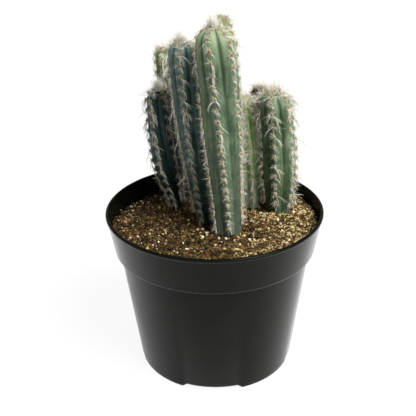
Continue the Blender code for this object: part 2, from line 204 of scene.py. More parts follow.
def spun(profile, steps):
    """A closed shape spun round the Z axis from a profile of (radius, height)."""
    bm = bmesh.new()
    points = [bm.verts.new((radius, 0, height)) for radius, height in profile]
    wire = [bm.edges.new(pair) for pair in zip(points, points[1:])]
    bmesh.ops.spin(bm, geom=points + wire, cent=(0, 0, 0), axis=UP, dvec=(0, 0, 0), angle=tau,
                   steps=steps, use_merge=True)
    bmesh.ops.remove_doubles(bm, verts=bm.verts, dist=MERGE)
    bmesh.ops.recalc_face_normals(bm, faces=bm.faces)
    return bm


def raise_arches(bm):
    """Lifts the foot between its four feet."""
    pitch = tau / ARCHES
    for vertex in bm.verts:
        radius = vertex.co.xy.length
        if not ARCH_REACH[0] < radius < ARCH_REACH[1]:
            continue
        inside = vertex.co.z > FOOT_INSIDE_HEIGHT and radius < FOOT_INSIDE_RADIUS
        above = vertex.co.z - (POT_WALL if inside else 0.0)
        if above > ARCH_HEIGHT:
            continue
        off = abs((atan2(vertex.co.y, vertex.co.x) + pitch / 2) % pitch - pitch / 2)
        share = smooth((ARCH_ENDS[1] - off) / (ARCH_ENDS[1] - ARCH_ENDS[0]))
        vertex.co.z += share * (ARCH_HEIGHT - ARCH_SQUASH * above)


def drilled(mesh):
    """The mesh with the drain holes cut through it."""
    bm = bmesh.new()
    for ring, start in DRAINS:
        for i in range(ARCHES):
            angle = start + i * tau / ARCHES
            spot = Matrix.Translation((ring * cos(angle), ring * sin(angle), 0))
            bmesh.ops.create_cone(bm, cap_ends=True, segments=DRAIN_SIDES, radius1=DRAIN_RADIUS,
                                  radius2=DRAIN_RADIUS, depth=DRAIN_DEPTH, matrix=spot)
    drill = object_of("drill", mesh_of(bm))
    blank = object_of("blank", mesh)
    cut = blank.modifiers.new("drains", "BOOLEAN")
    cut.operation = "DIFFERENCE"
    cut.solver = "EXACT"
    cut.object = drill
    bpy.context.view_layer.update()
    made = bpy.data.meshes.new_from_object(blank.evaluated_get(bpy.context.evaluated_depsgraph_get()))
    bpy.data.objects.remove(drill)
    bpy.data.objects.remove(blank)
    return made


def black_polypropylene():
    """Recycled polypropylene from a polished mould: near black, satin, a little cloudy, with faint flow
    marks down the wall, fine scuffs from stacking and a trace of dust."""
    made, tree, shader = material("black_polypropylene", {"IOR": 1.49, "Specular IOR Level": 0.06})
    spot = add(tree, "TexCoord").outputs["Object"]
    tall = add(tree, "Mapping", {"Scale": (1.0, 1.0, 0.12)}, {"Vector": spot})
    flat = add(tree, "Mapping", {"Scale": (0.25, 0.25, 2.5)}, {"Vector": spot})
    cloud = add(tree, "TexNoise", {"Scale": 1 / (22 * MM), "Detail": 4.0}, {"Vector": spot})
    flow = add(tree, "TexNoise", {"Scale": 1 / (9 * MM), "Detail": 3.0}, {"Vector": tall})
    scuff = add(tree, "TexNoise", {"Scale": 1 / (2.2 * MM), "Detail": 5.0, "Roughness": 0.7},
                {"Vector": flat})
    skin = add(tree, "TexNoise", {"Scale": 1 / (0.9 * MM), "Detail": 2.0}, {"Vector": spot})
    tint = add(tree, "ValToRGB", {}, {"Fac": cloud}, ((0.3, "080A06"), (0.7, "0F120C")))
    marks = add(tree, "ValToRGB", {}, {"Fac": scuff}, ((0.62, "000000"), (0.8, "6A6A66")))
    worn = add(tree, "MixRGB", {"blend_type": "ADD", "Fac": 0.04}, {"Color1": tint, "Color2": marks})
    gloss = add(tree, "MapRange", {"To Min": 0.18, "To Max": 0.32}, {"Value": flow})
    relief = add(tree, "Math", {"operation": "ADD"}, {0: flow, 1: skin})
    bump = add(tree, "Bump", {"Strength": 0.12, "Distance": 0.1 * MM}, {"Height": relief})
    feed(tree, shader, {"Base Color": worn, "Roughness": gloss, "Normal": bump})
    return made


bm = spun(POT_INSIDE + POT_OUTSIDE, POT_STEPS)
rings = [e for e in bm.edges if len(e.link_faces) == 2 and e.calc_face_angle() > SHARP]
bmesh.ops.bevel(bm, geom=rings, offset=EDGE_ROUNDING, affect="EDGES", segments=3, profile=0.5, material=-1)
raise_arches(bm)
pot_mesh = drilled(mesh_of(bm))
pot_mesh.transform(Matrix.Rotation(POT_TURN, 4, "Z"))
pot_mesh.shade_smooth()
pot_mesh.set_sharp_from_angle(angle=FLAT_SHADED)
place("pot_moulding", pot_mesh, black_polypropylene(), "pot", "pot")


# Potting mix. Brown peat with composted bark, coir fibre and white perlite, filled loose into the pot and
# settled round the stems, lower at the back left and heaped between the two stout stems.
SOIL_LEVEL = 117.0 * MM
SOIL_RISE_RIGHT = 1.5 / 75
SOIL_FALL_BACK = 3.5 / 75
SOIL_PLACES = (
    (-50, 52, -3.0, 28),
    (34, -2, 3.0, 14),
    (70, 34, 2.0, 12),
    (12, -17, -2.5, 15),
    (-7, 4, -1.5, 12),
)
SOIL_HOLLOWS = (
    (23, -17, -4.0, 4.5),
    (-3, -20, -3.0, 4.0),
    (-20, 2, -3.0, 6.0),
    (38, 12, -4.0, 5.0),
)
CLOD_SIZE = 13.0 * MM
CLOD_HEIGHT = 1.6 * MM
LUMP_SIZE = 5.0 * MM
LUMP_HEIGHT = 2.2 * MM
GRAIN_SIZE = 2.1 * MM
GRAIN_HEIGHT = 0.9 * MM
SOIL_STEPS = 270
SOIL_RINGS = 72
SOIL_BED = 5.2 * MM
SOIL_BED_RADIUS = 58.7 * MM
WALL_GAP = 0.4 * MM
WALL_BAND = 0.1 * MM


def wall_radius(height):
    """The pot's inner radius at a height."""
    radii, levels = zip(*INNER_WALL)
    return float(np.interp(height, levels, radii))


def heaped(height, places, x, y):
    """A level with round heaps and hollows on it, each one's place, rise and reach in millimetres."""
    for place_x, place_y, rise, reach in places:
        away = hypot(x - place_x * MM, y - place_y * MM) / (reach * MM)
        height += rise * MM * exp(-away * away)
    return height


def soil_height(x, y):
    """The soil's level: a gentle slope, its low and high places, and clods."""
    height = heaped(SOIL_LEVEL + SOIL_RISE_RIGHT * x - SOIL_FALL_BACK * y, SOIL_PLACES, x, y)
    return height + CLOD_HEIGHT * noise.noise(Vector((x, y, 0)) / CLOD_SIZE)


def loose_height(x, y):
    """The level with hollows beside the stems, lumps and grains on it."""
    height = heaped(soil_height(x, y), SOIL_HOLLOWS, x, y)
    spot = Vector((x, y, 0))
    height += LUMP_HEIGHT * (noise.turbulence(spot / LUMP_SIZE, 3, False) - 0.5)
    nearest = noise.voronoi(spot / GRAIN_SIZE)[0][0]
    return height + GRAIN_HEIGHT * (0.4 - nearest)


def moist_peat():
    """Moist peat with fine bark: dark brown in its gaps, mid brown with tan crumbs on top, quite matt."""
    made, tree, shader = material("moist_peat", {"Roughness": 0.95, "Specular IOR Level": 0.2})
    spot = add(tree, "TexCoord").outputs["Object"]
    crumb = add(tree, "TexVoronoi", {"Scale": 1 / (1.6 * MM)}, {"Vector": spot})
    cloud = add(tree, "TexNoise", {"Scale": 1 / (3.5 * MM), "Detail": 8.0, "Roughness": 0.75},
                {"Vector": spot})
    shades = add(tree, "ValToRGB", {}, {"Fac": cloud},
                 ((0.36, "1A1007"), (0.49, "443319"), (0.59, "745B33"), (0.74, "AE915A")))
    each = add(tree, "MixRGB", {"blend_type": "MULTIPLY", "Fac": 0.35},
               {"Color1": shades, "Color2": crumb.outputs["Color"]})
    bump = add(tree, "Bump", {"Strength": 0.9, "Distance": 0.6 * MM}, {"Height": cloud})
    feed(tree, shader, {"Base Color": each, "Normal": bump})
    return made


edge = wall_radius(SOIL_LEVEL) - WALL_GAP
soil_profile = [(edge * i / SOIL_RINGS, SOIL_LEVEL) for i in range(SOIL_RINGS + 1)]
soil_profile += [(radius - WALL_GAP, level) for radius, level in reversed(INNER_WALL[1:4])]
soil_profile += [(SOIL_BED_RADIUS, SOIL_BED), (0.0, SOIL_BED)]
bm = spun(soil_profile, SOIL_STEPS)
for vertex in bm.verts:
    if vertex.co.z < SOIL_LEVEL - MERGE:
        continue
    radius = vertex.co.xy.length
    vertex.co.z = loose_height(vertex.co.x, vertex.co.y)
    if radius > edge - WALL_BAND:
        vertex.co.xy *= (wall_radius(vertex.co.z) - WALL_GAP) / radius
soil_mesh = mesh_of(bm)
soil_mesh.shade_smooth()
place("peat_surface", soil_mesh, moist_peat(), "soil", "soil")


# Crumbs. Lumps of peat and chips of composted bark lie loose all over the soil, from dark moist ones to
# dry tan ones. They are what the eye sees of the mix, and a few of them lean on the foot of each stem.
CRUMBS = 2200
CRUMB_SIZES = (0.45 * MM, 1.15 * MM)
CRUMB_SHAPES = 8
GRAINS = 8000
GRAIN_SIZES = (0.25 * MM, 0.6 * MM)
GRAIN_SHAPES = 6
LUMP_PITCH = 1.4
SEED_STEP = 7.3
SMALL_ONES = 2.5
LUMP_LIFT = 0.4
MEAN_TONE = 0.36
DAMP_SHARE = 0.65
HIGH_SHARE = 0.2
PROUD_SHARE = 0.35
TONE_SPREAD = 0.3
DAMP_PATCH = 11.0 * MM
DRY_RISE = 5.0 * MM
# painted light: how much lighter crumbs are towards the side the key light comes from
PAINTED_LIGHT_SIDE = 0.95


def standing(spot, out, towards, size):
    """The matrix that stands a shape's Z along out and turns its X towards a direction, at a size."""
    side = out.cross(towards).normalized()
    axes = Matrix((side.cross(out), side, out)).transposed().to_4x4()
    return Matrix.Translation(spot) @ axes @ Matrix.Scale(size, 4)


def shape_of(bm, weigh=lambda corner: 1.0):
    """A small shape's corners, its triangles, and how much of a copy's tone each corner takes."""
    bmesh.ops.triangulate(bm, faces=bm.faces)
    bm.verts.index_update()
    corners = np.array([vertex.co[:] for vertex in bm.verts])
    triangles = np.array([[vertex.index for vertex in face.verts] for face in bm.faces])
    weights = np.array([weigh(vertex.co) for vertex in bm.verts])
    bm.free()
    return corners, triangles, weights


def copies(shapes, placings, soft=True):
    """One mesh of many copies of small shapes. A placing is a shape's number, its matrix, its tone and, on
    a stem, how closely other stems crowd round it, which the materials paint in as shade."""
    corners, triangles, tones, shades = [], [], [], []
    count = 0
    for number, matrix, tone, *shade in placings:
        points, faces, weights = shapes[number]
        moved = np.array(matrix)
        corners.append(points @ moved[:3, :3].T + moved[:3, 3])
        triangles.append(faces + count)
        tones.append(weights * tone)
        shades.append(np.full(len(points), sum(shade)))
        count += len(points)
    mesh = bpy.data.meshes.new("mesh")
    mesh.from_pydata(np.concatenate(corners).tolist(), [], np.concatenate(triangles).tolist())
    for layer, values in (("tone", tones), ("shade", shades)):
        data = mesh.attributes.new(layer, "FLOAT", "POINT").data
        data.foreach_set("value", np.concatenate(values).astype(np.float32))
    if soft:
        mesh.shade_smooth()
    return mesh


def lump(seed, roughness, primitive, **sizes):
    """A primitive about one unit in radius, with its surface pushed in and out."""
    bm = bmesh.new()
    primitive(bm, **sizes)
    for vertex in bm.verts:
        vertex.co *= 1 + roughness * noise.noise(vertex.co * LUMP_PITCH + Vector((SEED_STEP * seed, 0, 0)))
    return shape_of(bm)


def tumbled(spot, size):
    """The matrix that lays a lump down any way up, longer one way and thinner another."""
    turn = Matrix.Rotation(rng.uniform(0, tau), 4, "Z")
    turn = turn @ Matrix.Rotation(rng.uniform(0, pi), 4, "X")
    stretch = Matrix.Diagonal((size * rng.uniform(1.0, 1.6), size, size * rng.uniform(0.55, 0.95), 1.0))
    return Matrix.Translation(spot) @ turn @ stretch


def on_soil(radius, angle, lift):
    x, y = radius * cos(angle), radius * sin(angle)
    return Vector((x, y, loose_height(x, y) + lift))


def toned(tree, texture, spread, stops):
    """The colour of a copy by its tone attribute, made uneven by a texture."""
    tone = add(tree, "Attribute", {"attribute_name": "tone"}).outputs["Fac"]
    uneven = add(tree, "Math", {"operation": "MULTIPLY_ADD", **spread}, {0: texture})
    shade = add(tree, "Math", {"operation": "ADD", "use_clamp": True}, {0: uneven, 1: tone})
    return add(tree, "ValToRGB", {}, {"Fac": shade}, stops)


def loose_crumbs():
    """Peat and bark, matt: nearly black where moist, then brown, tan where the tone attribute is high."""
    made, tree, shader = material("peat_and_bark", {"Roughness": 0.95, "Specular IOR Level": 0.2})
    spot = add(tree, "TexCoord").outputs["Object"]
    grain = add(tree, "TexNoise", {"Scale": 1 / (0.7 * MM), "Detail": 3.0}, {"Vector": spot})
    tint = toned(tree, grain, {1: 0.4, 2: -0.2},
                 ((0.0, "110A05"), (0.3, "302213"), (0.55, "664F2C"), (0.8, "AA8E57"), (1.0, "DAC48E")))
    bump = add(tree, "Bump", {"Strength": 0.8, "Distance": 0.3 * MM}, {"Height": grain})
    feed(tree, shader, {"Base Color": tint, "Normal": bump})
    return made


def dryness(spot):
    """A crumb's tone: lumps that stand high dry to tan and damp patches stay dark; crumbs sunk among
    others are darker, with damp and painted shade; those towards the right, where the light comes from,
    are painted lighter as painted light.
    """
    damp = noise.noise(Vector((spot.x, spot.y, 0)) / DAMP_PATCH)
    high = (spot.z - SOIL_LEVEL) / DRY_RISE
    # crumbs sunk below the soil round them are darker: damp, and painted shade in the cavities
    proud = (spot.z - soil_height(spot.x, spot.y)) / LUMP_HEIGHT
    # painted light: crumbs towards +X, the side the key light comes from, are lighter
    painted_light_share = max(0.0, spot.x) / edge
    tone = MEAN_TONE + DAMP_SHARE * damp + HIGH_SHARE * high + PROUD_SHARE * proud + PAINTED_LIGHT_SIDE * painted_light_share
    return min(1.0, max(0.0, tone + rng.gauss(0, TONE_SPREAD)))


rng = random.Random(11)
lumps = [lump(i, 0.75, bmesh.ops.create_icosphere, subdivisions=1, radius=1.0) for i in range(CRUMB_SHAPES)]
lumps += [lump(i, 0.8, bmesh.ops.create_cube, size=1.4) for i in range(GRAIN_SHAPES)]
placings = []
for i in range(CRUMBS + GRAINS):
    low, high = CRUMB_SIZES if i < CRUMBS else GRAIN_SIZES
    number = rng.randrange(CRUMB_SHAPES) if i < CRUMBS else CRUMB_SHAPES + rng.randrange(GRAIN_SHAPES)
    size = low + (high - low) * rng.random() ** SMALL_ONES
    spot = on_soil((edge - size) * sqrt(rng.random()), rng.uniform(0, tau), LUMP_LIFT * size)
    placings.append((number, tumbled(spot, size), dryness(spot)))
place("soil_crumbs", copies(lumps, placings, soft=False), loose_crumbs(), "soil")


# Perlite. White foamed volcanic glass, mixed into the peat to keep it open. Grains of one to three
# millimetres show all over, thickest in a few patches where they washed together.
PERLITE = 250
PERLITE_SIZES = (0.4 * MM, 1.15 * MM)
PERLITE_SHAPES = 5
FIRST_SEED = 20
PERLITE_LIFT = 0.35
PERLITE_DUST = 0.9
PERLITE_PATCHES = ((-61, 12, 13), (-22, -52, 15), (44, -34, 16), (66, 22, 9))
PATCH_SHARE = 0.14


def foamed_glass():
    """Expanded perlite: chalk white with peat dust on it, matt and full of pores."""
    made, tree, shader = material("perlite", {"Roughness": 0.85, "Specular IOR Level": 0.3})
    spot = add(tree, "TexCoord").outputs["Object"]
    pores = add(tree, "TexNoise", {"Scale": 1 / (0.6 * MM), "Detail": 4.0}, {"Vector": spot})
    tint = toned(tree, pores, {1: 0.9, 2: -0.3, "use_clamp": True},
                 ((0.0, "FFFBF0"), (0.5, "EADFC6"), (1.0, "AD946A")))
    bump = add(tree, "Bump", {"Strength": 0.7, "Distance": 0.3 * MM}, {"Height": pores})
    feed(tree, shader, {"Base Color": tint, "Normal": bump})
    return made


grains = [lump(FIRST_SEED + i, 0.5, bmesh.ops.create_uvsphere, u_segments=8, v_segments=4, radius=1.0)
          for i in range(PERLITE_SHAPES)]
placings = []
for i in range(PERLITE):
    size = PERLITE_SIZES[0] + (PERLITE_SIZES[1] - PERLITE_SIZES[0]) * rng.random() ** 2
    radius, angle = (edge - size) * sqrt(rng.random()), rng.uniform(0, tau)
    if rng.random() < PATCH_SHARE:
        patch_x, patch_y, spread = rng.choice(PERLITE_PATCHES)
        x, y = rng.gauss(patch_x, spread / 2) * MM, rng.gauss(patch_y, spread / 2) * MM
        radius, angle = min(hypot(x, y), edge - size), atan2(y, x)
    spot = on_soil(radius, angle, PERLITE_LIFT * size)
    placings.append((rng.randrange(len(grains)), tumbled(spot, size), rng.random() * PERLITE_DUST))
place("perlite_grains", copies(grains, placings), foamed_glass(), "soil")


# Fibres. Coir strands and slivers of bark that came with the peat lie loose across the crumbs. Most of them
# are dark with damp, a few are bleached.
FIBRES = 420
FIBRE_LENGTHS = (3.0 * MM, 9.0 * MM)
FIBRE_THICKNESS = 0.035
FIBRE_BENDS = ((0.2, 0.1), (0.5, -0.1), (0.9, 0.05))
FIBRE_MARGIN = 4 * MM
FIBRE_LIFT = 0.5 * MM
SHORTEST_FIBRE = 2 * MM
STRAND_LEAN = 0.62
STRAND_CURVE = 0.8
STRAND_WAVES = 5
STRAND_TAPER = 0.6


def strand(thickness, steps, droop, wave):
    """A three-sided strand, one unit long: it leaves along Z, bends over towards X and waves a little."""
    bm = bmesh.new()
    bmesh.ops.create_circle(bm, cap_ends=True, segments=3, radius=thickness)
    edges = list(bm.edges)
    for i in range(steps):
        made = bmesh.ops.extrude_edge_only(bm, edges=edges)["geom"]
        edges = [part for part in made if isinstance(part, bmesh.types.BMEdge)]
        ring = [part for part in made if isinstance(part, bmesh.types.BMVert)]
        edges = [part for part in edges if all(vertex in ring for vertex in part.verts)]
        bmesh.ops.translate(bm, verts=ring, vec=(0, 0, 1 / steps))
    bmesh.ops.pointmerge(bm, verts=ring, merge_co=(0, 0, 1))
    for vertex in bm.verts:
        share = vertex.co.z
        bend = droop * pi / 2 * share ** STRAND_CURVE
        lean = STRAND_LEAN * bend
        middle = Vector((sin(lean), wave * sin(STRAND_WAVES * share), cos(lean))) * share
        across = Matrix.Rotation(bend, 3, "Y") @ Vector((vertex.co.x, vertex.co.y, 0))
        vertex.co = middle + across * (1 - STRAND_TAPER * share)
    bmesh.ops.recalc_face_normals(bm, faces=bm.faces)
    return shape_of(bm)


strands = [strand(FIBRE_THICKNESS, 3, droop, wave) for droop, wave in FIBRE_BENDS]
placings = []
for i in range(FIBRES):
    spot = on_soil((edge - FIBRE_MARGIN) * sqrt(rng.random()), rng.uniform(0, tau), FIBRE_LIFT)
    angle = rng.uniform(0, tau)
    out = Vector((cos(angle), sin(angle), rng.uniform(-0.1, 0.35))).normalized()
    length = min(rng.uniform(*FIBRE_LENGTHS), max(edge - spot.xy.length, SHORTEST_FIBRE))
    side = out.cross(UP) * rng.choice((-1, 1))
    placings.append((rng.randrange(len(strands)), standing(spot, out, side, length), rng.random() ** 2))
place("soil_fibres", copies(strands, placings), bpy.data.materials["peat_and_bark"], "soil")


# Stems. Each grew as one piece: a waxy green stem pleated into ribs, widest above the middle, that narrows
# into a root in the soil. A blue-white bloom of wax lies on the newer skin, and the grooves are painted dark
# as painted shade.
Stem = namedtuple("Stem", "name foot tip bow radii swell ribs turn twist dim tuft slot skin growth")
# Skin colours: flank and bloom are the skin's own; groove is painted shade in the grooves; low is older skin
# at the foot, and painted shade on the stems that stand back among the others; top is new growth, and
# painted light on the tops; frost is how much bloom shows.
Skin = namedtuple("Skin", "flank bloom groove low top frost")
Growth = namedtuple("Growth", "locks hearts wisps sideways fuzz top_fuzz new_spines new_length plume "
                              "plume_length")
# Lengths are in millimetres, turn and twist in degrees. The radii over the crests are at the foot, at the
# stoutest place, which is swell of the way up, and at the shoulder. Dim scales how crowded it counts: how
# much shade from other stems is painted on its colours, and how many of its hairs are left off.
STEMS = (
    Stem("stem_front_tall", (9.8, -17.1), (1.0, -17.1, 266.0), 1.0, (11.0, 14.4, 13.8), 0.6, 6, -21, 27, 0.5,
         "tuft_front_tall", "stem_grey_green", Skin("3F563D", "84987B", "1C3319", "566150", "A8BA92", 0.42),
         Growth(1.1, 115, 0.5, 0.3, 12, 12, 22, 3.5, 2, 6)),
    Stem("stem_left_tall", (-5.3, 3.6), (-21.2, 3.6, 252.2), -1.3, (8.6, 11.0, 11.0), 0.7, 6, -13, -14, 0.2,
         "tuft_left_tall", "stem_blue", Skin("22403A", "6F8A84", "0C1A18", "30463E", "748E84", 0.45),
         Growth(1.3, 80, 0.7, 0.3, 16, 14, 26, 3.8, 2, 6)),
    Stem("stem_far_left", (-29.5, 29.7), (-40.1, 29.7, 210.1), -2.7, (5.8, 11.3, 9.8), 0.4, 6, -40, 28, 1.5,
         "tuft_far_left", "stem_blue", Skin("113030", "284844", "071413", "11211D", "21403C", 0.3),
         Growth(1.2, 25, 1.2, 0.5, 12, 2, 20, 4.5, 20, 8)),
    Stem("stem_back_left", (-23.0, 50.5), (-36.9, 50.5, 236.0), -1.5, (7.6, 8.8, 6.9), 0.5, 6, -10, 0, 1.7,
         None, "stem_green", Skin("48623A", "768C60", "26381F", "10170F", "6C824C", 0.35),
         Growth(0.6, 60, 0.6, 0.3, 12, 14, 30, 5.0, 40, 12)),
    Stem("stem_slim_right", (30.0, 26.5), (23.4, 26.5, 205.0), 1.4, (7.4, 7.8, 5.4), 0.35, 6, -16, 22, 0.2,
         None, "stem_green", Skin("94B860", "CEE2A6", "3A5028", "8A9B90", "D8ECB0", 0.5),
         Growth(0.9, 30, 0.8, 0.3, 14, 14, 20, 4.0, 14, 8)),
    Stem("stem_right", (50.6, 17.3), (44.6, 17.3, 210.5), 2.4, (10.4, 13.2, 12.0), 0.35, 6, -18, -3, 0.25,
         None, "stem_grey_green", Skin("4E6644", "8EA184", "20331B", "364A2E", "84987A", 0.45),
         Growth(0.9, 40, 1.7, 0.75, 13, 24, 60, 5.5, 50, 16)),
    Stem("stem_back_right", (38.5, 48.5), (36.8, 48.0, 204.8), 0.0, (7.4, 8.4, 7.6), 0.5, 6, -20, 0, 1.8,
         None, "stem_blue", Skin("2A3D37", "5D746B", "0E1A18", "18261F", "86977C", 0.3),
         Growth(0.3, 20, 0.3, 0.4, 2, 40, 30, 5.0, 34, 12)),
    Stem("stem_back_tall", (7.0, 30.0), (5.9, 29.0, 263.5), 0.0, (7.2, 8.4, 7.6), 0.5, 7, -5, 0, 0.8,
         None, "stem_green", Skin("5F7B45", "90A474", "34482A", "4C6441", "86A066", 0.45),
         Growth(0.7, 45, 0.6, 0.2, 10, 12, 18, 3.5, 8, 5)),
)
DOME = 0.8
CROWN_RADIUS = 2.6 * MM
RIB_DEPTH = 0.255
YOUNG_EASE = 0.35
GROOVE_SHAPES = (1.15, 3.2)
POINTS_A_RIB = 20
ROW_STEP = 1.5 * MM
ROOT = 9.0 * MM
CREST_RIPPLE = 0.75 * MM
SWAY = radians(2.5)
SWAY_LENGTH = 30 * MM
SHARP_UNTIL = 55 * MM
SHARP_FADE = 30 * MM
WOBBLE = 0.3 * MM
WOBBLE_SIZE = 16 * MM
RIPPLE_WIDTH = 0.3
OLD_GROOVE = 0.72
PITCHES = ((0, 16 * MM, 40 * MM, 150 * MM), (3.0 * MM, 8.2 * MM, 8.2 * MM, 6.3 * MM))
FIRST_AREOLE = 0.35
RIB_OFFSET = 0.43
DOME_SAMPLES = 60
SHAFT_SAMPLES = 240
CROWDING_REACH = 15.0 * MM


def share_of(stem, height):
    """How far up the stem a height is: 0 at the soil level, 1 at its tip."""
    return (height - SOIL_LEVEL) / (stem.tip[2] * MM - SOIL_LEVEL)


def axis_at(stem, height):
    """The stem's middle at a height. Below the soil level it runs on straight."""
    share = share_of(stem, height)
    bend = 4 * share * (1 - share) if share > 0 else 4 * share
    x = stem.foot[0] + share * (stem.tip[0] - stem.foot[0]) + bend * stem.bow
    y = stem.foot[1] + share * (stem.tip[1] - stem.foot[1])
    return Vector((x * MM, y * MM, height))


def dome_base(stem):
    return (stem.tip[2] - DOME * stem.radii[2]) * MM


def radius_at(stem, height):
    """The radius over the rib crests at a height."""
    foot, stoutest, shoulder = (radius * MM for radius in stem.radii)
    share = share_of(stem, height)
    if share < stem.swell:
        radius = foot + (stoutest - foot) * smooth(share / stem.swell)
    else:
        radius = stoutest + (shoulder - stoutest) * smooth((share - stem.swell) / (1 - stem.swell))
    rise = min(1.0, (height - dome_base(stem)) / (DOME * shoulder))
    if rise > 0:
        radius = CROWN_RADIUS + (radius - CROWN_RADIUS) * sqrt(1 - rise * rise)
    return radius


def track_of(stem):
    """Down a rib from the crown: distance over the skin, height, and areoles passed, as three arrays."""
    base, tip = dome_base(stem), stem.tip[2] * MM
    dome = base + (tip - base) * np.sin(np.linspace(pi / 2, 0, DOME_SAMPLES))
    foot = soil_height(stem.foot[0] * MM, stem.foot[1] * MM) - ROOT
    shaft = np.linspace(base, foot, SHAFT_SAMPLES)[1:]
    heights = np.concatenate((dome, shaft))
    radii = np.array([radius_at(stem, height) for height in heights])
    steps = np.hypot(np.diff(heights), np.diff(radii))
    down = np.concatenate(([0.0], np.cumsum(steps)))
    passed = np.concatenate(([0.0], np.cumsum(steps / np.interp(down[1:], *PITCHES))))
    return down, heights, passed


def rib_angle(stem, rib, height):
    """The direction of a rib's crest, from the front towards +X. A rib number may have a fraction."""
    sway = noise.noise(Vector((stem.foot[0], stem.foot[1], height / SWAY_LENGTH)))
    first = stem.turn + stem.twist * min(1.0, 1 - share_of(stem, height))
    return radians(first) + tau * rib / stem.ribs + SWAY * sway


def start_of(rib):
    """Where a rib's first areole is, in areoles from the crown. Neighbouring ribs are out of step."""
    return (FIRST_AREOLE + RIB_OFFSET * rib) % 1


def fold(off, youth):
    """How deep the skin lies off a crest: flat flanks low down, round ribs with narrow pleats at the tip."""
    return (1 - youth) * off ** GROOVE_SHAPES[0] + youth * off ** GROOVE_SHAPES[1]


def skin_point(stem, rib, height, passed):
    """A point of the skin, and how dark its groove is, from 0 to 1."""
    off = 2 * abs(rib - round(rib))
    out_angle = rib_angle(stem, rib, height)
    out = Vector((sin(out_angle), -cos(out_angle), 0))
    youth = smooth((height - stem.tip[2] * MM + SHARP_UNTIL) / SHARP_FADE)
    radius = radius_at(stem, height) * (1 - RIB_DEPTH * (1 - YOUNG_EASE * youth) * fold(off, youth))
    swell = cos(tau * (passed - start_of(round(rib) % stem.ribs)))
    radius += CREST_RIPPLE * (0.5 * swell - 0.1) * exp(-(off / RIPPLE_WIDTH) ** 2) * min(1, passed / 2)
    spot = axis_at(stem, height) + out * radius
    fade = min(1.0, passed / 3)
    spot += out * WOBBLE * fade * noise.noise(spot / WOBBLE_SIZE)
    return spot, off * (OLD_GROOVE + (1 - OLD_GROOVE) * youth)


def others_at(stem, height):
    """The other stems that reach a height."""
    return [other for other in STEMS if other is not stem and height <= other.tip[2] * MM]


def crowding(stem, spot):
    """How close and how squarely other stems face a point of the skin, from 0 to 1."""
    middle = axis_at(stem, spot.z)
    out = (spot - middle).normalized()
    total = 0.0
    for other in others_at(stem, spot.z):
        across = axis_at(other, spot.z) - spot
        gap = max(0.0, across.length - radius_at(other, spot.z))
        total += max(0.0, out.dot(across.normalized())) * exp(-gap / CROWDING_REACH)
    return min(1.0, total * stem.dim)


def ribbed_skin(stem):
    """A grid rolled into a tube, drawn up the stem and pleated into its ribs."""
    down, heights, passed = track_of(stem)
    rows = round(down[-1] / ROW_STEP)
    bm = bmesh.new()
    bmesh.ops.create_grid(bm, x_segments=stem.ribs * POINTS_A_RIB, y_segments=rows, size=0.5)
    groove = bm.verts.layers.float.new("groove")
    rise = bm.verts.layers.float.new("rise")
    shade = bm.verts.layers.float.new("shade")
    for vertex in bm.verts:
        rib = (vertex.co.x + 0.5) * stem.ribs
        distance = (0.5 - vertex.co.y) * down[-1]
        height = float(np.interp(distance, down, heights))
        vertex.co, vertex[groove] = skin_point(stem, rib, height, float(np.interp(distance, down, passed)))
        vertex[rise] = share_of(stem, height)
        vertex[shade] = crowding(stem, vertex.co)
    bmesh.ops.remove_doubles(bm, verts=bm.verts, dist=MERGE)
    bmesh.ops.holes_fill(bm, edges=[e for e in bm.edges if e.is_boundary])
    bmesh.ops.recalc_face_normals(bm, faces=bm.faces)
    return mesh_of(bm)


def shadowed(tree, tint, most):
    """Darkens a colour, by a share at most, with painted shade where other stems crowd round."""
    shade = add(tree, "Attribute", {"attribute_name": "shade"}).outputs["Fac"]
    painted_shade_share = add(tree, "MapRange", {"From Min": 0.2, "From Max": 0.85, "To Max": most}, {"Value": shade})
    return add(tree, "MixRGB", {"Color2": colour("0A100C")}, {"Fac": painted_shade_share, "Color1": tint})


